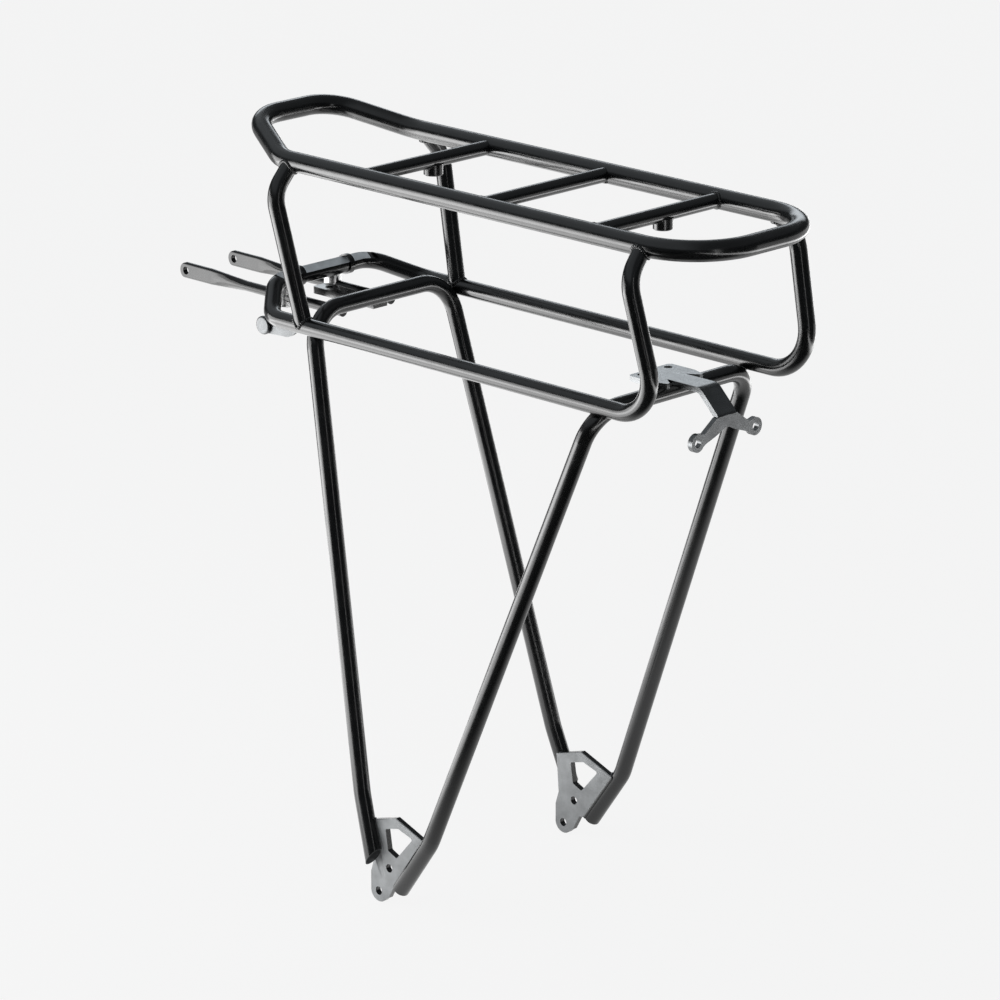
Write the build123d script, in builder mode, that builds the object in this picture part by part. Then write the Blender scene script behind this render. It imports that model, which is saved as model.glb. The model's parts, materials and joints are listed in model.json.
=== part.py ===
"""A bicycle rear rack in bent steel tube, with two adjustable mounting stays.

Frame: +X points forward along the bicycle, +Y to its left, +Z up. The origin is midway between the
lower eyelets of the two foot plates, on their common axis. Millimetres.
"""
from build123d import *
import os
from math import atan2, degrees

# --- tube stock -------------------------------------------------------------------------------
hoop_radius = 6.35
hoop_wall = 1.0
rail_radius = 5.35
rail_wall = 0.9
crossbar_radius = 4.6
crossbar_wall = 0.8

# --- platform ---------------------------------------------------------------------------------
platform_z = 442.3
platform_half_width = 56.5
platform_rear_x = -236.0
platform_kink_x = 109.2
nose = (160.0, 31.7, 456.1)
rear_corner_bend = 43.0
nose_bend = 30.0
crossbar_x = {"crossbar_front": 40.7, "crossbar_middle": -59.7, "crossbar_rear": -150.7}

# --- lower rails, with the rear supports ------------------------------------------------------
rail_z = 343.8
rail_half_width = 66.3
support_top = (-193.8, platform_half_width, platform_z)
support_shoulder = (-196.8, 72.5, 426.0)
support_foot_x = -216.4
rail_kink_x = 109.8
rail_front = (134.2, 40.8, 357.0)
support_top_bend = 22.0
support_foot_bend = 25.0
rail_kink_bend = 18.0
rail_front_bend = 25.0

# --- front bar, pressed flat on its upper rear side between the rails' front ends ------------------------------
bar_flat_height = 3.8
bar_flat_tilt = 21.0
bar_half_length = 42.0

# --- front uprights ---------------------------------------------------------------------------
upright_top = (99.8, platform_half_width, platform_z)
upright_shoulder = (99.9, 72.3, 425.0)
upright_foot = (80.6, 66.4, rail_z)
upright_bend = 21.5

# --- legs -------------------------------------------------------------------------------------
front_leg_corner = (82.1, 58.3, 350.5)
front_leg_knee = (13.5, 84.8, 61.0)
front_leg_end = (-7.0, 90.3, 1.0)
front_leg_bend = 24.5
front_leg_knee_bend = 60.0
mitre_front = (7.6, 12.6)
mitre_rear = (-4.6, 31.6)
rear_leg_corner = (-165.7, 67.4, 339.5)
rear_leg_knee = (-46.9, 85.4, 44.1)
rear_leg_end = (-20.8, 85.2, 7.1)
rear_leg_bend = 21.5
rear_leg_knee_bend = 30.0

# --- foot plates ------------------------------------------------------------------------------
foot_y = 82.3
foot_thickness = 4.0
eyelet_radius = 2.75
eyelet_tip_radius = 7.2
upper_eyelet = (-9.4, 17.4)
window_corner = 1.2
plate_chamfer = 0.35

# --- light bracket ----------------------------------------------------------------------------
strip_thickness = 3.3
strip_half_width = 8.0
strip_front_x = -146.0
strip_bend_x = -193.5
strip_bend = 5.0
shoulder_half_width = 18.3
lamp_hole_spacing = 50.0
lamp_hole_radius = 2.6
lamp_ear_radius = 5.5
lamp_hole_z = 320.8
lamp_face_x = -208.9
bracket_hole = (-151.0, 11.5)
bracket_hole_radius = 2.6

# --- mudguard tab -----------------------------------------------------------------------------
tab_front_x = 137.0
tab_width = 12.0
tab_thickness = 4.5
tab_bottom_z = 342.4
tab_hole_x = 128.0
tab_hole_radius = 2.65

# --- cable lug under the left rail, with its screw ----------------------------------------------
lug_rear_x = 90.0
lug_thickness = 2.0
lug_inner_y = 60.6
lug_screw_at = (120.3, 336.0)
lug_ear_radius = 5.0
lug_screw_radius = 2.5
lug_head_radius = 5.85
lug_head_height = 2.4
lug_nut_across_flats = 8.0
lug_nut_height = 3.0

# --- stays and their clamps -------------------------------------------------------------------
stay_y = 20.8
stay_z = 341.4
stay_radius = 3.25
stay_tail_x = 93.0
stay_eye_x = 237.8
stay_eye_radius = 2.6
blade_height = 10.4
blade_thickness = 3.6
blade_start_x = 214.0
rod_end_x = 182.0
running_gap = 0.06
clamp_x = 147.0
band_width = 3.6
ear_width = 7.2
ear_start_x = 141.6
strap_thickness = 1.0
strap_inner_radius = rail_radius + running_gap
ear_end_x = 152.0
ear_slit = 0.6
bolt_radius = 2.0
eye_radius = 4.7
eye_bottom_z = 334.5
eye_top_z = 346.5
saddle_radius = 5.9
saddle_bottom_z = 342.6
saddle_bore_gap = 0.1
washer_radius = 4.5
washer_thickness = 0.8
nut_across_flats = 7.0
nut_height = 3.2

ear_split_z = rail_front[2] - rail_radius - running_gap
ear_top_z = ear_split_z + strap_thickness
ear_bottom_z = ear_split_z - strap_thickness
nut_z = ear_top_z + washer_thickness
bolt_top_z = nut_z + nut_height + 1.0
os.makedirs("parts", exist_ok=True)


def finish(piece, name):
    """Label a finished piece and write its STEP file."""
    piece.part.label = name
    export_step(piece.part, f"parts/{name}.step")


def mirrored(point):
    """The same point on the other side of the rack."""
    return (point[0], -point[1], point[2])


def run_tube(points, bends, radius, wall=0.0):
    """Sweep a round tube, or a solid rod where wall is 0, along bent straights, in the part in hand."""
    with BuildLine() as route:
        FilletPolyline(*points, radius=bends)
    with BuildSketch(Plane(origin=route.line @ 0, z_dir=route.line % 0)) as section:
        Circle(radius)
        if wall:
            Circle(radius - wall, mode=Mode.SUBTRACT)
    sweep(section.sketch, path=route.line)


def rod(points, bends, radius):
    """A solid rod along bent straights, used to cope the tubes that meet it."""
    with BuildPart() as core:
        run_tube(points, bends, radius)
    return core.part


hoop_points = [
    (platform_rear_x, 0, platform_z),
    (platform_rear_x, platform_half_width, platform_z),
    (platform_kink_x, platform_half_width, platform_z),
    nose,
    (nose[0], 0, nose[2]),
]
hoop_bends = [rear_corner_bend, nose_bend, nose_bend]
rail_points = [
    support_top,
    support_shoulder,
    (support_foot_x, rail_half_width, rail_z),
    (rail_kink_x, rail_half_width, rail_z),
    rail_front,
    (rail_front[0], 0, rail_front[2]),
]
rail_bends = [support_top_bend, support_foot_bend, rail_kink_bend, rail_front_bend]
front_leg_half = [front_leg_end, front_leg_knee, front_leg_corner]
front_leg_points = front_leg_half + [mirrored(p) for p in reversed(front_leg_half)]
front_leg_bends = [front_leg_knee_bend, front_leg_bend, front_leg_bend, front_leg_knee_bend]
rear_leg_half = [rear_leg_end, rear_leg_knee, rear_leg_corner]
rear_leg_points = rear_leg_half + [mirrored(p) for p in reversed(rear_leg_half)]
rear_leg_bends = [rear_leg_knee_bend, rear_leg_bend, rear_leg_bend, rear_leg_knee_bend]

# Solid cores of the main tubes. Each tube that meets one of them is coped by it.
hoop_core = rod(hoop_points, hoop_bends, hoop_radius)
rail_core = rod(rail_points, rail_bends, rail_radius)
front_leg_core = rod(front_leg_points, front_leg_bends, rail_radius)
rear_leg_core = rod(rear_leg_points, rear_leg_bends, rail_radius)

# --- top hoop: half is swept and mirrored into one closed tube --------------------------------
with BuildPart() as top_hoop:
    run_tube(hoop_points, hoop_bends, hoop_radius, hoop_wall)
    mirror(about=Plane.XZ)
finish(top_hoop, "top_hoop")

# --- crossbars, coped to the hoop's side rails ------------------------------------------------
for name, x in crossbar_x.items():
    with BuildPart() as crossbar:
        with BuildSketch(Plane.XZ.offset(-platform_half_width)):
            with Locations((x, platform_z)):
                Circle(crossbar_radius)
                Circle(crossbar_radius - crossbar_wall, mode=Mode.SUBTRACT)
        extrude(amount=2 * platform_half_width)
        for side in (1, -1):
            with Locations(Location((x, side * platform_half_width, platform_z), (0, 90, 0))):
                Cylinder(hoop_radius, 4 * crossbar_radius, mode=Mode.SUBTRACT)
    finish(crossbar, name)

# --- threaded bosses under the front and rear crossbars ---------------------------------------
boss_y = -6.0
boss_radius = 6.0
boss_bottom_z = 433.2
boss_top_z = 440.0
boss_thread_radius = 2.1
boss_thread_depth = 4.0
for name, x in (("boss_front", crossbar_x["crossbar_front"]), ("boss_rear", crossbar_x["crossbar_rear"])):
    with BuildPart() as boss:
        with BuildSketch(Plane.XY.offset(boss_bottom_z)):
            with Locations((x, boss_y)):
                Circle(boss_radius)
        extrude(amount=boss_top_z - boss_bottom_z)
        chamfer(boss.edges().group_by(Axis.Z)[0], 0.5)
        with Locations(Location((x, boss_y, platform_z), (90, 0, 0))):
            Cylinder(crossbar_radius, 4 * boss_radius, mode=Mode.SUBTRACT)
        with BuildSketch(Plane.XY.offset(boss_bottom_z)):
            with Locations((x, boss_y)):
                Circle(boss_thread_radius)
        extrude(amount=boss_thread_depth, mode=Mode.SUBTRACT)
    finish(boss, name)

# --- lower rails: rear support, pannier rail and front corner in one bent tube ----------------
for name, side in (("rail_left", 1), ("rail_right", -1)):
    with BuildPart() as rail:
        run_tube(rail_points, rail_bends, rail_radius, rail_wall)
        split(bisect_by=Plane.XZ.offset(-bar_half_length), keep=Keep.BOTTOM)
        add(hoop_core, mode=Mode.SUBTRACT)
        if side < 0:
            mirror(about=Plane.XZ, mode=Mode.REPLACE)
    finish(rail, name)

# --- front bar: the loop's front, pressed flat on its upper rear side between the two rails -------------------
with BuildPart() as front_bar:
    with BuildLine() as half_route:
        FilletPolyline(*reversed(rail_points[-3:]), radius=rail_front_bend)
    with BuildSketch(Plane(origin=half_route.line @ 0, x_dir=(1, 0, 0), z_dir=half_route.line % 0)) as section:
        Circle(rail_radius)
        with Locations(Location((0, 0, 0), (0, 0, -bar_flat_tilt))):
            with Locations((0, -bar_flat_height - rail_radius)):
                Rectangle(4 * rail_radius, 2 * rail_radius, mode=Mode.SUBTRACT)
        offset(amount=-rail_wall, mode=Mode.SUBTRACT)
    sweep(section.sketch, path=half_route.line)
    split(bisect_by=Plane.XZ.offset(-bar_half_length), keep=Keep.TOP)
    mirror(about=Plane.XZ)
finish(front_bar, "front_bar")

# --- front uprights, coped to the hoop above and the rail below -------------------------------
for name, side in (("upright_left", 1), ("upright_right", -1)):
    with BuildPart() as upright:
        run_tube([upright_top, upright_shoulder, upright_foot], upright_bend, rail_radius, rail_wall)
        add(hoop_core, mode=Mode.SUBTRACT)
        add(rail_core, mode=Mode.SUBTRACT)
        if side < 0:
            mirror(about=Plane.XZ, mode=Mode.REPLACE)
    finish(upright, name)

# --- leg hoops, coped to the lower rails they pass --------------------------------------------
mitre_direction = Vector(mitre_front[0] - mitre_rear[0], 0, mitre_front[1] - mitre_rear[1])
mitre_plane = Plane(
    origin=(mitre_front[0], 0, mitre_front[1]),
    x_dir=(0, 1, 0),
    z_dir=mitre_direction.cross(Vector(0, 1, 0)),
)
for name, points, bends, core in (
    ("front_leg_hoop", front_leg_points, front_leg_bends, front_leg_core),
    ("rear_leg_hoop", rear_leg_points, rear_leg_bends, rear_leg_core),
):
    with BuildPart() as leg_hoop:
        run_tube(points, bends, rail_radius, rail_wall)
        if name == "front_leg_hoop":
            split(bisect_by=mitre_plane, keep=Keep.TOP)
        add(rail_core, mode=Mode.SUBTRACT)
        add(rail_core.mirror(Plane.XZ), mode=Mode.SUBTRACT)
    finish(leg_hoop, name)

# --- foot plates, coped to the leg tubes ------------------------------------------------------
plate_edge = [
    (6.5, 45.5),
    (-15.5, 52.0),
    (-46.2, 40.6),
    (-21.4, 8.4),
    (-14.2, 7.6),
    (-8.6, -2.6),
    (-4.1, -5.6),
    (eyelet_tip_radius - 0.05, 0.0),
    (eyelet_tip_radius - 0.05, 11.3),
    (4.5, 19.7),
]
window_edge = [(-6.3, 42.6), (-8.5, 28.8), (-15.9, 25.6), (-30.2, 41.9), (-17.5, 45.6)]
for name, side in (("foot_plate_left", 1), ("foot_plate_right", -1)):
    with BuildPart() as foot_plate:
        with BuildSketch(Plane.XZ.offset(-foot_y - foot_thickness / 2)):
            with BuildLine():
                Polyline(*plate_edge, close=True)
            make_face()
            Circle(eyelet_tip_radius)
        extrude(amount=foot_thickness)
        for face in (foot_plate.faces().sort_by(Axis.Y)[-1], foot_plate.faces().sort_by(Axis.Y)[0]):
            chamfer(face.edges(), plate_chamfer)
        with BuildSketch(Plane.XZ.offset(-foot_y - foot_thickness / 2)):
            with BuildLine():
                FilletPolyline(*window_edge, radius=window_corner, close=True)
            make_face()
            with Locations((0, 0), upper_eyelet):
                Circle(eyelet_radius)
        extrude(amount=foot_thickness, mode=Mode.SUBTRACT)
        add(front_leg_core, mode=Mode.SUBTRACT)
        add(rear_leg_core, mode=Mode.SUBTRACT)
        if side < 0:
            mirror(about=Plane.XZ, mode=Mode.REPLACE)
    finish(foot_plate, name)

# --- light bracket: one strip over the rear leg hoop, with a cross plate for the lamp ---------
strip_z = rear_leg_corner[2] + rail_radius + strip_thickness / 2
lamp_plate_x = lamp_face_x + strip_thickness / 2
with BuildPart() as light_bracket:
    with BuildSketch(Plane.XZ):
        with BuildLine():
            FilletPolyline(
                (strip_front_x, strip_z),
                (strip_bend_x, strip_z),
                (lamp_plate_x, 333.0),
                (lamp_plate_x, 327.5),
                radius=[strip_bend, 3.0],
            )
        trace(line_width=strip_thickness)
    extrude(amount=2 * shoulder_half_width, both=True)
    with BuildSketch(Plane.XY.offset(lamp_hole_z)):
        with BuildLine():
            Polyline(
                (strip_front_x, 0),
                (strip_front_x, shoulder_half_width - 2),
                (strip_front_x - 2, shoulder_half_width),
                (-166.0, shoulder_half_width),
                (-175.0, 15.5),
                (-175.0, 13.0),
                (-168.0, strip_half_width),
                (lamp_face_x, strip_half_width),
                (lamp_face_x, 0),
            )
            mirror(about=Plane.XZ)
        make_face()
    extrude(amount=2 * strip_half_width + 20, mode=Mode.INTERSECT)
    with BuildSketch(Plane.YZ.offset(lamp_face_x)):
        with BuildLine():
            Polyline(
                (0, 333.0),
                (9.0, 332.6),
                (19.5, 325.2),
                (lamp_hole_spacing / 2, lamp_hole_z + lamp_ear_radius),
                (lamp_hole_spacing / 2, lamp_hole_z - lamp_ear_radius),
                (18.0, 319.2),
                (9.6, 322.0),
                (0, 326.3),
            )
            mirror(about=Plane.YZ)
        make_face()
        with Locations((lamp_hole_spacing / 2, lamp_hole_z), (-lamp_hole_spacing / 2, lamp_hole_z)):
            Circle(lamp_ear_radius)
            Circle(lamp_hole_radius, mode=Mode.SUBTRACT)
    extrude(amount=strip_thickness)
    with Locations((bracket_hole[0], bracket_hole[1], strip_z), (bracket_hole[0], -bracket_hole[1], strip_z)):
        Cylinder(bracket_hole_radius, 2 * strip_thickness, mode=Mode.SUBTRACT)
finish(light_bracket, "light_bracket")

# --- mudguard tab: a flat tongue welded under the front leg hoop ------------------------------
with BuildPart() as mudguard_tab:
    with BuildSketch(Plane.XY.offset(tab_bottom_z)):
        with Locations(((tab_front_x + front_leg_corner[0]) / 2, 0)):
            Rectangle(tab_front_x - front_leg_corner[0], tab_width)
        with Locations((tab_hole_x, 0)):
            Circle(tab_hole_radius, mode=Mode.SUBTRACT)
    extrude(amount=tab_thickness)
    fillet(mudguard_tab.edges().filter_by(Axis.Z).group_by(Axis.X)[-1], 1.5)
    add(front_leg_core, mode=Mode.SUBTRACT)
finish(mudguard_tab, "mudguard_tab")

# --- stays: round rod, drawn out to a flat drilled blade --------------------------------------
for name, side in (("stay_left", 1), ("stay_right", -1)):
    with BuildPart() as stay:
        with BuildSketch(Plane.YZ.offset(stay_tail_x)):
            with Locations((side * stay_y, stay_z)):
                Circle(stay_radius)
        extrude(amount=rod_end_x - stay_tail_x)
        chamfer(stay.edges().group_by(Axis.X)[0], 0.6)
        with BuildSketch(Plane.YZ.offset(rod_end_x)):
            with Locations((side * stay_y, stay_z)):
                Circle(stay_radius)
        with BuildSketch(Plane.YZ.offset(blade_start_x)):
            with Locations((side * stay_y, stay_z)):
                RectangleRounded(blade_thickness, blade_height, 1.5)
        loft()
        with BuildSketch(Plane.YZ.offset(blade_start_x)):
            with Locations((side * stay_y, stay_z)):
                RectangleRounded(blade_thickness, blade_height, 1.5)
        extrude(amount=stay_eye_x + blade_height / 2 - blade_start_x)
        with BuildSketch(Plane.XZ.offset(-side * stay_y - blade_height)):
            with Locations((stay_eye_x, stay_z)):
                SlotCenterPoint((-stay_eye_x / 2, 0), (0, 0), blade_height)
        extrude(amount=2 * blade_height, mode=Mode.INTERSECT)
        with Locations(Location((stay_eye_x, side * stay_y, stay_z), (90, 0, 0))):
            Cylinder(stay_eye_radius, blade_height, mode=Mode.SUBTRACT)
    finish(stay, name)

# --- stay clamps: a band with two ears round the front bar, an eye bolt down through its ears, a saddle -----
for side_name, side in (("left", 1), ("right", -1)):
    clamp_y = side * stay_y
    stay_bore = Location((clamp_x, clamp_y, stay_z), (0, 90, 0))

    with BuildPart() as strap:
        with BuildSketch(Plane.XZ.offset(-clamp_y - band_width / 2)):
            with Locations((rail_front[0], rail_front[2])):
                Circle(strap_inner_radius + strap_thickness)
            with Locations(((rail_front[0] + ear_start_x) / 2, ear_split_z)):
                Rectangle(ear_start_x - rail_front[0], 2 * strap_thickness)
            with Locations((rail_front[0], rail_front[2])):
                Circle(strap_inner_radius, mode=Mode.SUBTRACT)
        extrude(amount=band_width)
        with BuildSketch(Plane.XZ.offset(-clamp_y - ear_width / 2)):
            with Locations(((ear_start_x + ear_end_x) / 2, ear_split_z)):
                Rectangle(ear_end_x - ear_start_x, 2 * strap_thickness)
        extrude(amount=ear_width)
        fillet(strap.edges().filter_by(Axis.Z).group_by(Axis.X)[-1], ear_width / 2 - 0.5)
        with Locations(((rail_front[0] + ear_end_x) / 2, clamp_y, ear_split_z)):
            Box(ear_end_x - rail_front[0], ear_width, ear_slit, mode=Mode.SUBTRACT)
        with Locations((clamp_x, clamp_y, ear_split_z)):
            Cylinder(bolt_radius + running_gap, 4 * strap_thickness, mode=Mode.SUBTRACT)
    finish(strap, f"clamp_strap_{side_name}")

    with BuildPart() as eye_bolt:
        with BuildSketch(Plane.XY.offset(eye_bottom_z)):
            with Locations((clamp_x, clamp_y)):
                Circle(eye_radius)
        extrude(amount=eye_top_z - eye_bottom_z)
        chamfer(eye_bolt.edges().group_by(Axis.Z)[0], 1.0)
        with BuildSketch(Plane.XY.offset(eye_top_z)):
            with Locations((clamp_x, clamp_y)):
                Circle(bolt_radius)
        extrude(amount=bolt_top_z - eye_top_z)
        chamfer(eye_bolt.edges().group_by(Axis.Z)[-1], 0.5)
        with Locations(stay_bore):
            Cylinder(stay_radius + running_gap, 4 * eye_radius, mode=Mode.SUBTRACT)
    finish(eye_bolt, f"eye_bolt_{side_name}")

    with BuildPart() as saddle:
        with BuildSketch(Plane.XY.offset(saddle_bottom_z)):
            with Locations((clamp_x, clamp_y)):
                Circle(saddle_radius)
        extrude(amount=ear_bottom_z - running_gap - saddle_bottom_z)
        with BuildSketch(Plane.XY.offset(saddle_bottom_z)):
            with Locations((clamp_x, clamp_y)):
                Circle(eye_radius + saddle_bore_gap)
        extrude(amount=eye_top_z + 0.5 - saddle_bottom_z, mode=Mode.SUBTRACT)
        with Locations((clamp_x, clamp_y, ear_bottom_z)):
            Cylinder(bolt_radius + running_gap, 4 * eye_radius, mode=Mode.SUBTRACT)
        with Locations(stay_bore):
            Cylinder(stay_radius + running_gap, 4 * saddle_radius, mode=Mode.SUBTRACT)
    finish(saddle, f"clamp_saddle_{side_name}")

    with BuildPart() as washer:
        with BuildSketch(Plane.XY.offset(ear_top_z + running_gap)):
            with Locations((clamp_x, clamp_y)):
                Circle(washer_radius)
                Circle(bolt_radius + 0.15, mode=Mode.SUBTRACT)
        extrude(amount=washer_thickness - running_gap)
    finish(washer, f"clamp_washer_{side_name}")

    with BuildPart() as nut:
        with BuildSketch(Plane.XY.offset(nut_z)):
            with Locations((clamp_x, clamp_y)):
                RegularPolygon(nut_across_flats / 2, 6, major_radius=False)
                Circle(bolt_radius, mode=Mode.SUBTRACT)
        extrude(amount=nut_height)
        with BuildSketch(Plane.XY.offset(nut_z)):
            with Locations((clamp_x, clamp_y)):
                Circle(nut_across_flats / 2 + 0.35)
        extrude(amount=nut_height, taper=6, mode=Mode.INTERSECT)
    finish(nut, f"clamp_nut_{side_name}")

# --- cable lug: a half-moon plate welded inside the left rail, drawn forward to one screw ------
lug_outer_y = lug_inner_y + lug_thickness
with BuildPart() as cable_lug:
    with BuildSketch(Plane.XZ.offset(-lug_outer_y)):
        with BuildLine():
            Line((lug_rear_x, rail_z - 3), (lug_screw_at[0] - 6, rail_z - 3))
            Line((lug_screw_at[0] - 6, rail_z - 3), (lug_screw_at[0], lug_screw_at[1] + lug_ear_radius))
            ThreePointArc(
                (lug_screw_at[0], lug_screw_at[1] + lug_ear_radius),
                (lug_screw_at[0] + lug_ear_radius, lug_screw_at[1]),
                (lug_screw_at[0], lug_screw_at[1] - lug_ear_radius),
            )
            Line((lug_screw_at[0], lug_screw_at[1] - lug_ear_radius), (104.0, 331.9))
            ThreePointArc((104.0, 331.9), (95.5, 334.0), (lug_rear_x, rail_z - 3))
        make_face()
        with Locations(lug_screw_at):
            Circle(lug_screw_radius + 0.1, mode=Mode.SUBTRACT)
    extrude(amount=lug_thickness)
    add(rail_core, mode=Mode.SUBTRACT)
finish(cable_lug, "cable_lug")

# The screw has a plain domed head outside the lug, and its nut is inside.
screw_end_y = lug_inner_y - lug_nut_height - 1.5
with BuildPart() as lug_screw:
    with BuildSketch(Plane.XZ.offset(-lug_outer_y)):
        with Locations(lug_screw_at):
            Circle(lug_screw_radius)
    extrude(amount=lug_outer_y - screw_end_y)
    with BuildSketch(Plane.XZ.offset(-lug_outer_y - lug_head_height)):
        with Locations(lug_screw_at):
            Circle(lug_head_radius)
    extrude(amount=lug_head_height)
    fillet(lug_screw.faces().sort_by(Axis.Y)[-1].edges(), 1.2)
finish(lug_screw, "lug_screw")

with BuildPart() as lug_nut:
    with BuildSketch(Plane.XZ.offset(-lug_inner_y)):
        with Locations(lug_screw_at):
            RegularPolygon(lug_nut_across_flats / 2, 6, major_radius=False)
            Circle(lug_screw_radius, mode=Mode.SUBTRACT)
    extrude(amount=lug_nut_height)
finish(lug_nut, "lug_nut")
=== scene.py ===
"""A bicycle rear rack: finishes, weld beads, threads and end caps on the CAD frame, in a pale studio."""
import json
from math import cos, pi, radians, sin

import bmesh
import bpy
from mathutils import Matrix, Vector
from mathutils.bvhtree import BVHTree


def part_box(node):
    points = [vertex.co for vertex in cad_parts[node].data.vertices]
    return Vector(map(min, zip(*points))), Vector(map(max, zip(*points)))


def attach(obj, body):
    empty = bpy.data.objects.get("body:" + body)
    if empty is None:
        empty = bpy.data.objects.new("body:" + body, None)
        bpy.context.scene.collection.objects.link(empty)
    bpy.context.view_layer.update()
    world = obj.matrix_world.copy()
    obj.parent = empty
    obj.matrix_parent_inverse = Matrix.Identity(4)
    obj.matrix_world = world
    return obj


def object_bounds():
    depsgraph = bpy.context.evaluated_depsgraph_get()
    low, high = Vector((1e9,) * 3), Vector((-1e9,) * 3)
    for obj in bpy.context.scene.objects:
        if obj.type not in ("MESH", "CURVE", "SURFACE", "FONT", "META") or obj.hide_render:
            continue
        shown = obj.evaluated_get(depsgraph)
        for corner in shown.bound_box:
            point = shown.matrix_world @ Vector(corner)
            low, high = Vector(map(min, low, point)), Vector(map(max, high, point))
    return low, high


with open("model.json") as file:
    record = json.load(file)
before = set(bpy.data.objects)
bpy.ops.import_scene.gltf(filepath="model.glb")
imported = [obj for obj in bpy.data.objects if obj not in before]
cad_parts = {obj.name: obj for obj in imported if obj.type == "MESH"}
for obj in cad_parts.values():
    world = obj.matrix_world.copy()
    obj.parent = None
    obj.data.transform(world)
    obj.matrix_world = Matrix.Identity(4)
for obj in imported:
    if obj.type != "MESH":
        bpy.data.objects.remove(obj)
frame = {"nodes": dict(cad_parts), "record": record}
cad_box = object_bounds()
nodes = frame["nodes"]
SIDES = {"left": 1, "right": -1}
MM = 0.001


# --- small helpers ----------------------------------------------------------------------------
def new_piece(name, vertices, faces, material, body):
    """A smooth-shaded mesh object that rides on a body and wears the material it is given."""
    mesh = bpy.data.meshes.new(name)
    mesh.from_pydata([tuple(v) for v in vertices], [], faces)
    mesh.update()
    mesh.shade_smooth()
    mesh.materials.append(material)
    piece = bpy.data.objects.new(name, mesh)
    bpy.context.scene.collection.objects.link(piece)
    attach(piece, body)
    return piece


def tube_mesh(points, radii, closed=False, sides=12):
    """Vertices and faces of a tube through points, with a radius at each."""
    vertices, faces = [], []
    count = len(points)
    normal = None
    for i, point in enumerate(points):
        ahead = points[(i + 1) % count] if closed else points[min(i + 1, count - 1)]
        behind = points[i - 1] if closed or i else points[0]
        tangent = (ahead - behind).normalized()
        if normal is None:
            normal = tangent.orthogonal().normalized()
        normal = (normal - tangent * normal.dot(tangent)).normalized()
        across = tangent.cross(normal)
        for k in range(sides):
            angle = 2 * pi * k / sides
            vertices.append(point + (normal * cos(angle) + across * sin(angle)) * radii[i])
    spans = count if closed else count - 1
    for i in range(spans):
        a, b = i * sides, ((i + 1) % count) * sides
        for k in range(sides):
            n = (k + 1) % sides
            faces.append((a + k, a + n, b + n, b + k))
    if not closed:
        faces.append(tuple(reversed(range(sides))))
        faces.append(tuple(range((count - 1) * sides, count * sides)))
    return vertices, faces


# --- materials --------------------------------------------------------------------------------
# Bump depths, in metres.
PEEL_DEPTH = 0.000025
GRAIN_DEPTH = 0.000004
SAND_DEPTH = 0.00004
MARKS_DEPTH = 0.000012
ROUGHNESS_SPREAD = 0.07


def shader_nodes(name):
    material = bpy.data.materials.new(name)
    material.use_nodes = True
    tree = material.node_tree
    return material, tree, tree.nodes["Principled BSDF"]


def noise(tree, scale, detail=2.0, stretch=None):
    """Noise in the object's own metres: its scale is features per metre."""
    coordinates = tree.nodes.new("ShaderNodeTexCoord")
    texture = tree.nodes.new("ShaderNodeTexNoise")
    texture.inputs["Scale"].default_value = scale
    texture.inputs["Detail"].default_value = detail
    if stretch:
        mapping = tree.nodes.new("ShaderNodeMapping")
        mapping.inputs["Scale"].default_value = stretch
        tree.links.new(coordinates.outputs["Object"], mapping.inputs["Vector"])
        tree.links.new(mapping.outputs["Vector"], texture.inputs["Vector"])
    else:
        tree.links.new(coordinates.outputs["Object"], texture.inputs["Vector"])
    return texture.outputs["Fac"]


def ramp(tree, factor, stops):
    """A colour ramp from (position, colour) stops."""
    node = tree.nodes.new("ShaderNodeValToRGB")
    node.color_ramp.elements[0].position = stops[0][0]
    node.color_ramp.elements[0].color = stops[0][1]
    node.color_ramp.elements[1].position = stops[-1][0]
    node.color_ramp.elements[1].color = stops[-1][1]
    for position, colour in stops[1:-1]:
        node.color_ramp.elements.new(position).color = colour
    tree.links.new(factor, node.inputs["Fac"])
    return node.outputs["Color"]


def span(tree, factor, low, high, start=0.3, end=0.7):
    """The factor spread over a range of values."""
    node = tree.nodes.new("ShaderNodeMapRange")
    node.inputs["From Min"].default_value = start
    node.inputs["From Max"].default_value = end
    node.inputs["To Min"].default_value = low
    node.inputs["To Max"].default_value = high
    tree.links.new(factor, node.inputs["Value"])
    return node.outputs["Result"]


def grey(value, tint=(1.0, 1.0, 1.0)):
    return (value * tint[0], value * tint[1], value * tint[2], 1.0)


def bumps(tree, shader, layers):
    """Stacks bump layers of (height, depth in metres) on the shader."""
    below = None
    for height, depth in layers:
        node = tree.nodes.new("ShaderNodeBump")
        node.inputs["Strength"].default_value = 1.0
        node.inputs["Distance"].default_value = depth
        tree.links.new(height, node.inputs["Height"])
        if below:
            tree.links.new(below, node.inputs["Normal"])
        below = node.outputs["Normal"]
    tree.links.new(below, shader.inputs["Normal"])


def powder_coat(name, specular):
    """Black powder coat with orange peel, faint mottling and handling scuffs; less specular is duller."""
    slate = (0.92, 1.0, 1.06)
    material, tree, shader = shader_nodes(name)
    mottle = noise(tree, 60, 3)
    peel = noise(tree, 420, 2)
    grain = noise(tree, 2600, 1)
    scuffs = noise(tree, 95, 8)
    colour = ramp(tree, mottle, [(0.3, grey(0.0025, slate)), (0.7, grey(0.006, slate))])
    tree.links.new(colour, shader.inputs["Base Color"])
    tree.links.new(span(tree, scuffs, 0.15, 0.27, 0.35, 0.75), shader.inputs["Roughness"])
    shader.inputs["Specular IOR Level"].default_value = specular
    bumps(tree, shader, [(peel, PEEL_DEPTH), (grain, GRAIN_DEPTH)])
    return material


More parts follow.
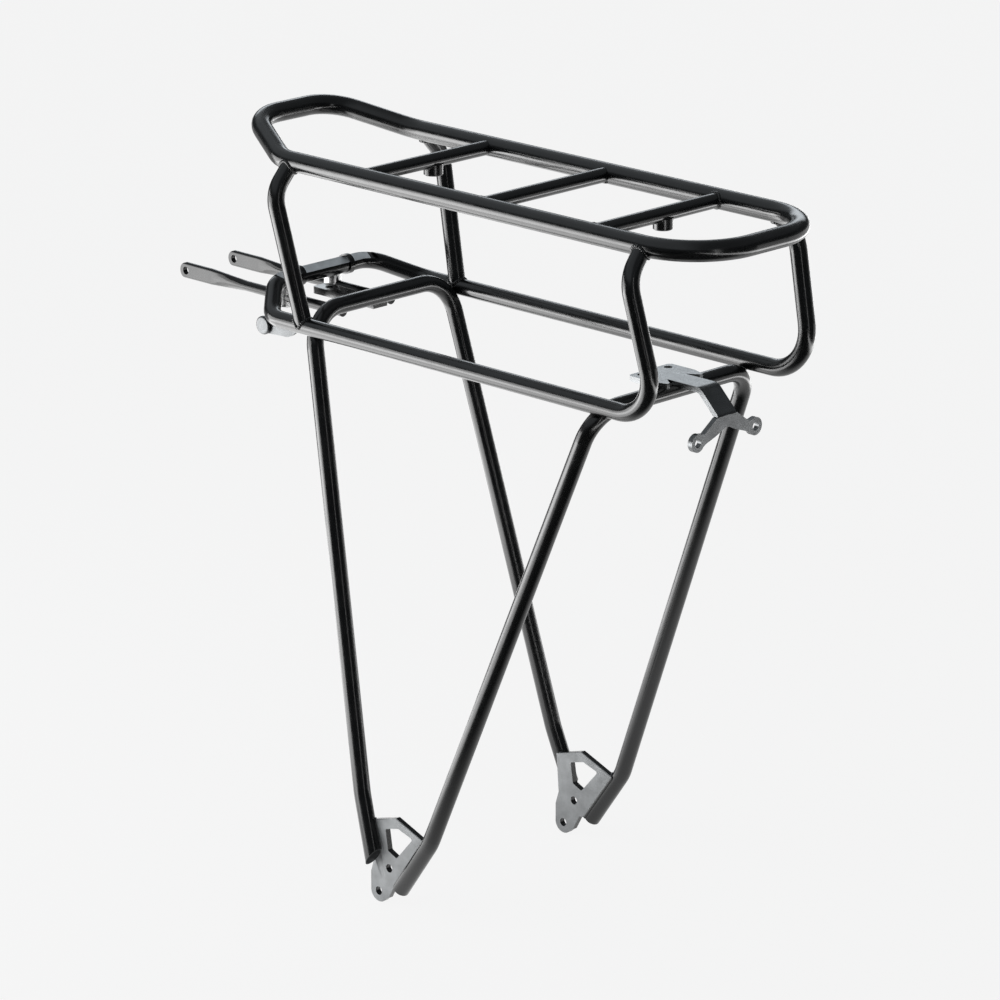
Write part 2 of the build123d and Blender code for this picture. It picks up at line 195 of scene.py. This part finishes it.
def graphite_coat(name, tone, roughness, metallic=1.0):
    """Satin grey metallic coat over cut plate, with a sandy grain and darker patches."""
    cool = (0.97, 1.0, 1.02)
    material, tree, shader = shader_nodes(name)
    patches = noise(tree, 120, 4)
    sand = noise(tree, 1900, 3)
    colour = ramp(tree, patches, [(0.3, grey(tone * 0.85, cool)), (0.7, grey(tone * 1.15, cool))])
    tree.links.new(colour, shader.inputs["Base Color"])
    shader.inputs["Metallic"].default_value = metallic
    spread = span(tree, sand, roughness - ROUGHNESS_SPREAD, roughness + ROUGHNESS_SPREAD)
    tree.links.new(spread, shader.inputs["Roughness"])
    bumps(tree, shader, [(sand, SAND_DEPTH)])
    return material


def bright_plating():
    """Bright zinc-plated steel with fine turning marks and a little dulling."""
    material, tree, shader = shader_nodes("bright_plating")
    marks = noise(tree, 700, 2, stretch=(1.0, 1.0, 9.0))
    dull = noise(tree, 260, 4)
    colour = ramp(tree, dull, [(0.35, grey(0.42)), (0.65, grey(0.6))])
    tree.links.new(colour, shader.inputs["Base Color"])
    shader.inputs["Metallic"].default_value = 1.0
    tree.links.new(span(tree, dull, 0.2, 0.38), shader.inputs["Roughness"])
    bumps(tree, shader, [(marks, MARKS_DEPTH)])
    return material


finishes = {
    "black_powder_coat": powder_coat("powder_coat", 0.6),
    "graphite_coat": graphite_coat("graphite_coat", 0.16, 0.3),
    "bright_hardware": bright_plating(),
}
coat = finishes["black_powder_coat"]
for part in frame["record"]["subparts"]:
    mesh = nodes[part["node"]].data
    mesh.materials.clear()
    mesh.materials.append(finishes[part["material_slot"]])


def refinish(name, material, chosen):
    """Gives another finish to the faces of a CAD node that the test picks by their normals."""
    mesh = nodes[name].data
    mesh.materials.append(material)
    place = len(mesh.materials) - 1
    for face in mesh.polygons:
        if chosen(face.normal):
            face.material_index = place


def every_face(normal):
    return True


# Foot plates are sandy on their flat sides and black on their cut edges.
sandy_plate = graphite_coat("sandy_plate", 0.23, 0.48, 0.5)
dark_plating = graphite_coat("dark_plating", 0.08, 0.3)
# The front bar's flat is coloured light grey as a painted reflection of overhead light.
flat_painted_reflection = graphite_coat("flat_painted_reflection", 0.85, 0.6)
stay_coat = powder_coat("stay_coat", 0.3)
plug_black = powder_coat("plug_black", 0.1)
for side_name in SIDES:
    refinish(f"foot_plate_{side_name}", sandy_plate, lambda normal: abs(normal.y) > 0.5)
    refinish(f"foot_plate_{side_name}", coat, lambda normal: abs(normal.y) < 0.5)
    refinish(f"stay_{side_name}", stay_coat, every_face)
# The front bar's pressed flat leans to the rear; its light grey colour is a painted reflection of overhead
# light on the flat.
FLAT_TILT = radians(21)
FLAT_MATCH = 0.999
flat_normal = Vector((-sin(FLAT_TILT), 0.0, cos(FLAT_TILT)))
refinish("front_bar", flat_painted_reflection, lambda normal: normal.dot(flat_normal) > FLAT_MATCH)
for name in ("cable_lug", "lug_screw"):
    refinish(name, dark_plating, every_face)

# --- weld beads -------------------------------------------------------------------------------
TOUCHING = 0.06 * MM
SAME_POINT = 0.0005 * MM
BEAD_STEP = 0.3 * MM
RIPPLE_LENGTH = 1.3 * MM
RIPPLE_DEPTH = 0.1
FULL_SEAM = 0.9
FEWEST_POINTS = 12
BORE_SEAM_GAP = 3 * MM
TUBE_BEAD = 1.15 * MM
LEG_BEAD = 1.0 * MM
PLATE_BEAD = 0.9 * MM
SMALL_BEAD = 0.7 * MM
solids = {}


def solid(name):
    """A CAD node's mesh with its seams joined, and its surface for distances."""
    if name not in solids:
        shape = bmesh.new()
        shape.from_mesh(nodes[name].data)
        bmesh.ops.remove_doubles(shape, verts=shape.verts, dist=SAME_POINT)
        solids[name] = (shape, BVHTree.FromBMesh(shape))
    return solids[name]


def touches(point, tree):
    near = tree.find_nearest(point, TOUCHING)
    return near[0] is not None


def seam_loops(name, other):
    """Closed paths round the faces where one node rests on another."""
    shape, tree = solid(name)[0], solid(other)[1]
    shape.faces.ensure_lookup_table()
    near = {v.index for v in shape.verts if touches(v.co, tree)}
    worn = {f.index for f in shape.faces if all(v.index in near for v in f.verts)}
    worn = {i for i in worn if touches(shape.faces[i].calc_center_median(), tree)}
    rim = {}
    for edge in shape.edges:
        if sum(f.index in worn for f in edge.link_faces) == 1:
            a, b = edge.verts
            rim.setdefault(a.index, []).append(b.index)
            rim.setdefault(b.index, []).append(a.index)
    shape.verts.ensure_lookup_table()
    loops = []
    while rim:
        here = next(iter(rim))
        loop = [here]
        while rim.get(here):
            ahead = rim[here].pop()
            rim[ahead].remove(here)
            if not rim[here]:
                del rim[here]
            here = ahead
            loop.append(here)
        rim.pop(here, None)
        loops.append([shape.verts[i].co.copy() for i in loop])
    return loops


def evenly(path, step):
    """The path resampled to even steps."""
    spaced, left = [path[0]], step
    for a, b in zip(path, path[1:]):
        length = (b - a).length
        while length and left <= length:
            spaced.append(a + (b - a) * (left / length))
            left += step
        left -= length
    return spaced


def softened(path, passes):
    """A closed path with its corners eased, as molten metal flows."""
    for _ in range(passes):
        path = [(path[i - 1] + path[i] * 2 + path[(i + 1) % len(path)]) / 4 for i in range(len(path))]
    return path


def bead(name, path, radius):
    """A closed weld bead, its radius rippled by the overlapping pools of the weld."""
    radii, travelled = [], 0.0
    for i, point in enumerate(path):
        travelled += (point - path[i - 1]).length if i else 0.0
        radii.append(radius * (1 + RIPPLE_DEPTH * sin(2 * pi * travelled / RIPPLE_LENGTH)))
    vertices, faces = tube_mesh(path, radii, closed=True, sides=10)
    return new_piece(name, vertices, faces, coat, "rack")


def weld(name, other, radius):
    """Beads along the seams between two nodes, leaving out the seams inside a tube's bore."""
    loops = [evenly(loop, BEAD_STEP) for loop in seam_loops(name, other)]
    longest = max((len(loop) for loop in loops), default=0)
    kept = [loop for loop in loops if len(loop) > FULL_SEAM * longest]
    centres = []
    for loop in kept:
        centre = sum(loop, Vector()) / len(loop)
        inside = any((centre - c).length < BORE_SEAM_GAP for c in centres)
        if len(loop) > FEWEST_POINTS and not inside:
            centres.append(centre)
            bead(f"weld_{name}_{other}_{len(centres)}", softened(loop, 3), radius)


for side_name in SIDES:
    weld(f"upright_{side_name}", "top_hoop", TUBE_BEAD)
    weld(f"upright_{side_name}", f"rail_{side_name}", TUBE_BEAD)
    weld(f"rail_{side_name}", "top_hoop", TUBE_BEAD)
    weld("front_leg_hoop", f"rail_{side_name}", LEG_BEAD)
    weld("rear_leg_hoop", f"rail_{side_name}", LEG_BEAD)
    weld(f"foot_plate_{side_name}", "front_leg_hoop", PLATE_BEAD)
    weld(f"foot_plate_{side_name}", "rear_leg_hoop", PLATE_BEAD)
for bar in ("front", "middle", "rear"):
    weld(f"crossbar_{bar}", "top_hoop", LEG_BEAD)
weld("boss_front", "crossbar_front", SMALL_BEAD)
weld("boss_rear", "crossbar_rear", SMALL_BEAD)
weld("mudguard_tab", "front_leg_hoop", PLATE_BEAD)
weld("cable_lug", "rail_left", SMALL_BEAD)

# --- bracket welds, along the strip's edges where it lies over the rear leg hoop's bar ---------
BRACKET_HALF_WIDTH = 18.3 * MM
WELDED_SHARE = 0.9
HALF_STEPS = 20
BAR_X = -165.7 * MM
BAR_Z = 339.5 * MM
BAR_RADIUS = 5.35 * MM
EDGE_OFFSET = 2.0 * MM
BEAD_SINK = 0.25 * MM
for place, lean in (("front", 1), ("rear", -1)):
    line = []
    for k in range(2 * HALF_STEPS + 1):
        y = BRACKET_HALF_WIDTH * (k / HALF_STEPS - 1) * WELDED_SHARE
        line.append(Vector((BAR_X + lean * EDGE_OFFSET, y, BAR_Z + BAR_RADIUS - BEAD_SINK)))
    vertices, faces = tube_mesh(line, [PLATE_BEAD] * len(line))
    new_piece(f"weld_bracket_{place}", vertices, faces, coat, "rack")

# --- plugs in the legs' open ends --------------------------------------------------------------
# Points on the left side, in millimetres; the right side mirrors them.
BORE_RADIUS = 4.5 * MM
PLUG_SINK = 0.2 * MM
PLUG_TIP = 0.97
REAR_KNEE = (-46.9, 85.4, 44.1)
REAR_END = (-20.8, 85.2, 7.1)
REAR_DOME = 1.0 * MM
FRONT_KNEE = (13.5, 84.8, 61.0)
FRONT_END = (-7.0, 90.3, 1.0)
FRONT_DOME = 0.3 * MM
MITRE_POINT = (7.6, 0.0, 12.6)
MITRE_NORMAL = (-19.0, 0.0, -12.2)


def on_side(point, side):
    return Vector((point[0], point[1] * side, point[2])) * MM


def plug(name, end, knee, plane_point, plane_normal, dome):
    """A low domed plug that fills a leg tube's bore at a plane."""
    along = (end - knee).normalized()
    across = along.orthogonal().normalized()
    over = along.cross(across)
    sides, rings = 32, 5
    vertices, faces = [], []
    for ring in range(rings):
        share = ring / (rings - 1)
        for k in range(sides):
            angle = 2 * pi * k / sides
            spoke = (across * cos(angle) + over * sin(angle)) * BORE_RADIUS * (1 - PLUG_TIP * share)
            start = end + spoke
            slide = (plane_point - start).dot(plane_normal) / along.dot(plane_normal)
            rise = dome * (1 - (1 - share) ** 2) - PLUG_SINK
            vertices.append(start + along * (slide + rise))
        if ring:
            for k in range(sides):
                n = (k + 1) % sides
                a, b = (ring - 1) * sides, ring * sides
                faces.append((a + k, a + n, b + n, b + k))
    faces.append(tuple(range((rings - 1) * sides, rings * sides)))
    new_piece(name, vertices, faces, plug_black, "rack")


for side_name, side in SIDES.items():
    knee = on_side(REAR_KNEE, side)
    end = on_side(REAR_END, side)
    plug(f"plug_rear_leg_{side_name}", end, knee, end, (end - knee).normalized(), REAR_DOME)
    knee = on_side(FRONT_KNEE, side)
    end = on_side(FRONT_END, side)
    mitre_normal = Vector(MITRE_NORMAL).normalized()
    plug(f"plug_front_leg_{side_name}", end, knee, on_side(MITRE_POINT, side), mitre_normal, FRONT_DOME)


# --- screw threads ----------------------------------------------------------------------------
STEPS_PER_TURN = 24
CREST_RADIUS = 0.2 * MM
THREAD_PITCH = 0.7 * MM
BOLT_CREST = 1.95 * MM
BOLT_LEAD_IN = 0.35 * MM
SCREW_CREST = 2.45 * MM
SCREW_LEAD_IN = 0.3 * MM


def thread(name, base, axis, radius, length, body, slot):
    """A thread's crest wound round a screw's shank."""
    across = axis.orthogonal().normalized()
    over = axis.cross(across)
    steps = int(STEPS_PER_TURN * length / THREAD_PITCH)
    line = []
    for k in range(steps + 1):
        angle = 2 * pi * k / STEPS_PER_TURN
        spoke = (across * cos(angle) + over * sin(angle)) * radius
        line.append(base + spoke + axis * (length * k / steps))
    vertices, faces = tube_mesh(line, [CREST_RADIUS] * len(line), sides=6)
    new_piece(name, vertices, faces, finishes[slot], body)


for side_name in SIDES:
    low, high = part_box(f"eye_bolt_{side_name}")
    nut_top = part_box(f"clamp_nut_{side_name}")[1].z
    base = Vector(((low.x + high.x) / 2, (low.y + high.y) / 2, nut_top))
    length = high.z - nut_top - BOLT_LEAD_IN
    thread(f"thread_eye_bolt_{side_name}", base, Vector((0, 0, 1)), BOLT_CREST, length,
           f"clamp_{side_name}", "bright_hardware")
low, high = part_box("lug_screw")
nut_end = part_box("lug_nut")[0].y
base = Vector(((low.x + high.x) / 2, nut_end, (low.z + high.z) / 2))
length = nut_end - low.y - SCREW_LEAD_IN
thread("thread_lug_screw", base, Vector((0, -1, 0)), SCREW_CREST, length, "rack", "graphite_coat")

# --- the studio -------------------------------------------------------------------------------
# The product stands on a pale sweep. A big softbox leans in from the left, its glow carried on by the
# sweep below it; the camera's side is kept dark, so that the black tube shows crisp bands of light.
LEFT = Vector((0.7114, 0.7028, 0.0))
FRONT = Vector((-0.7028, 0.7114, 0.0))
UP = Vector((0.0, 0.0, 1.0))
WHITE = (1, 1, 1, 1)

# The sweep's brightness to the camera, and in reflections: its patches, each with the stretch, in metres
# to the left or the front, over which it comes up or fades.
FLOOR_SEEN = 0.885
FLOOR_LIGHT = 0.85
FLOOR_NEAR_LEFT = 2.0
NEAR_LEFT_RISE = (-0.02, 0.16)
FLOOR_FRONT = 0.03
DARK_FRONT_FADE = (0.10, 0.26)
FLOOR_GLOW = 4.5
GLOW_RISE = (0.28, 0.42)
GLOW_FRONT_FADE = (0.40, 0.55)
GLOW_BACK_FADE = (-0.62, -0.45)
FLOOR_STREAK = 4.5
STREAK_RISE = (-0.90, -0.84)
STREAK_FADE = (-0.68, -0.60)
FLOOR_HALF = 9.0
FLOOR_DROP = 0.1 * MM

# The two lamps out of the shot, in metres.
LAMP_REACH = 0.95
LAMP_BRIGHTNESS = 4.0
BOX_WIDTH = 1.0
BOX_HEIGHT = 0.56
BOX_RISE = 0.29
STRIP_WIDTH = 0.05
STRIP_HEIGHT = 0.85
STRIP_LEFT = -0.56
STRIP_RISE = 0.42

# The world's brightness, and the direction cosines over which its parts come up or fade.
OVERHEAD_RIGHT = 0.1
OVERHEAD_LEFT = 0.42
OVERHEAD_TURN = (-0.15, 0.2)
OVERHEAD_RISE = (0.3, 0.5)
CARD = 2.3
CARD_SIDES = (0.86, 0.93)
CARD_FOOT = (0.16, 0.22)
CARD_TOP = (0.38, 0.46)
AMBIENT = 0.06
WORLD_SEEN = 0.9
SKY_TINT = (0.94, 1.0, 1.05, 1)


def along_axis(tree, vector, axis):
    node = tree.nodes.new("ShaderNodeVectorMath")
    node.operation = "DOT_PRODUCT"
    node.inputs[1].default_value = axis
    tree.links.new(vector, node.inputs[0])
    return node.outputs["Value"]


def combine(tree, operation, a, b):
    """A Math node over two sockets or numbers."""
    node = tree.nodes.new("ShaderNodeMath")
    node.operation = operation
    for socket, value in zip(node.inputs, (a, b)):
        if isinstance(value, (int, float)):
            socket.default_value = value
        else:
            tree.links.new(value, socket)
    return node.outputs["Value"]


def seen_or_lit(tree, seen, lit):
    """One brightness to the camera and another in reflections, as cards out of the shot would give."""
    path = tree.nodes.new("ShaderNodeLightPath").outputs["Is Camera Ray"]
    return combine(tree, "ADD", combine(tree, "MULTIPLY", path, seen),
                   combine(tree, "MULTIPLY", combine(tree, "SUBTRACT", 1.0, path), lit))


def pale_floor():
    material, tree, shader = shader_nodes("pale_floor")
    place = tree.nodes.new("ShaderNodeTexCoord").outputs["Object"]
    left = along_axis(tree, place, LEFT)
    front = along_axis(tree, place, FRONT)
    glow = combine(tree, "MULTIPLY", span(tree, left, 0.0, FLOOR_GLOW, *GLOW_RISE),
                   span(tree, front, 1.0, 0.0, *GLOW_FRONT_FADE))
    glow = combine(tree, "MULTIPLY", glow, span(tree, front, 0.05, 1.0, *GLOW_BACK_FADE))
    near_glow = span(tree, left, FLOOR_LIGHT, FLOOR_NEAR_LEFT, *NEAR_LEFT_RISE)
    shaded = combine(tree, "MULTIPLY", near_glow, span(tree, left, 1.0, 0.1, *GLOW_RISE))
    shaded = combine(tree, "MULTIPLY", shaded, span(tree, front, 1.0, FLOOR_FRONT, *DARK_FRONT_FADE))
    streak = combine(tree, "MULTIPLY", span(tree, left, 0.0, FLOOR_STREAK, *STREAK_RISE),
                     span(tree, left, 1.0, 0.0, *STREAK_FADE))
    lit = combine(tree, "ADD", combine(tree, "ADD", glow, shaded), streak)
    tree.links.new(seen_or_lit(tree, FLOOR_SEEN, lit), shader.inputs["Emission Strength"])
    shader.inputs["Base Color"].default_value = (0.05, 0.05, 0.05, 1)
    shader.inputs["Roughness"].default_value = 0.9
    shader.inputs["Specular IOR Level"].default_value = 0.0
    shader.inputs["Emission Color"].default_value = WHITE
    return material


floor_z = cad_box[0].z - FLOOR_DROP
floor_mesh = bpy.data.meshes.new("floor")
corners = [(x * FLOOR_HALF, y * FLOOR_HALF, floor_z) for x, y in ((-1, -1), (1, -1), (1, 1), (-1, 1))]
floor_mesh.from_pydata(corners, [], [(0, 1, 2, 3)])
floor_mesh.materials.append(pale_floor())
floor = bpy.data.objects.new("floor", floor_mesh)
bpy.context.scene.collection.objects.link(floor)


def softbox(name, place, facing, width, height, brightness):
    """A soft rectangular light, out of the shot, with an even brightness over its face."""
    light = bpy.data.lights.new(name, "AREA")
    light.shape = "RECTANGLE"
    light.size, light.size_y = width, height
    light.energy = brightness * pi * width * height
    lamp = bpy.data.objects.new(name, light)
    lamp.location = place
    lamp.rotation_euler = facing.to_track_quat("-Z", "Y").to_euler()
    lamp.visible_camera = False
    bpy.context.scene.collection.objects.link(lamp)


box_place = LEFT * LAMP_REACH + UP * (floor_z + BOX_RISE)
softbox("softbox_left", box_place, -LEFT, BOX_WIDTH, BOX_HEIGHT, LAMP_BRIGHTNESS)
strip_foot = FRONT * LAMP_REACH + LEFT * STRIP_LEFT
softbox("strip_right", strip_foot + UP * STRIP_RISE, -strip_foot, STRIP_WIDTH, STRIP_HEIGHT, LAMP_BRIGHTNESS)


def studio_world():
    """Light above and behind on the left, a bright card far behind, and dark elsewhere."""
    world = bpy.data.worlds.new("studio")
    world.use_nodes = True
    bpy.context.scene.world = world
    tree = world.node_tree
    direction = tree.nodes.new("ShaderNodeTexCoord").outputs["Generated"]
    left = along_axis(tree, direction, LEFT)
    back = along_axis(tree, direction, -FRONT)
    height = along_axis(tree, direction, UP)
    overhead = combine(tree, "MULTIPLY", span(tree, left, OVERHEAD_RIGHT, OVERHEAD_LEFT, *OVERHEAD_TURN),
                       span(tree, height, 0.0, 1.0, *OVERHEAD_RISE))
    card = combine(tree, "MULTIPLY", span(tree, back, 0.0, CARD, *CARD_SIDES),
                   span(tree, height, 0.0, 1.0, *CARD_FOOT))
    card = combine(tree, "MULTIPLY", card, span(tree, height, 1.0, 0.0, *CARD_TOP))
    lit = combine(tree, "ADD", combine(tree, "ADD", overhead, card), AMBIENT)
    background = tree.nodes["Background"]
    tree.links.new(seen_or_lit(tree, WORLD_SEEN, lit), background.inputs["Strength"])
    background.inputs["Color"].default_value = SKY_TINT


# --- the camera -------------------------------------------------------------------------------
AZIMUTH = radians(224.65)
ELEVATION = radians(17.45)
ROLL = radians(0.03)
BACK = Vector((sin(AZIMUTH) * cos(ELEVATION), -cos(AZIMUTH) * cos(ELEVATION), sin(ELEVATION)))
TARGET = Vector((-14.42, -8.8, 236.11)) * MM
DISTANCE = 3.0567
SENSOR_WIDTH = 36.0
LENS = 178.51
studio_world()
camera_data = bpy.data.cameras.new("camera")
camera_data.sensor_width = SENSOR_WIDTH
camera_data.lens = LENS
camera = bpy.data.objects.new("camera", camera_data)
camera.location = TARGET + BACK * DISTANCE
camera.rotation_euler = (pi / 2 - ELEVATION, ROLL, AZIMUTH)
bpy.context.scene.collection.objects.link(camera)
bpy.context.scene.camera = camera
bpy.context.scene.view_settings.view_transform = "Standard"
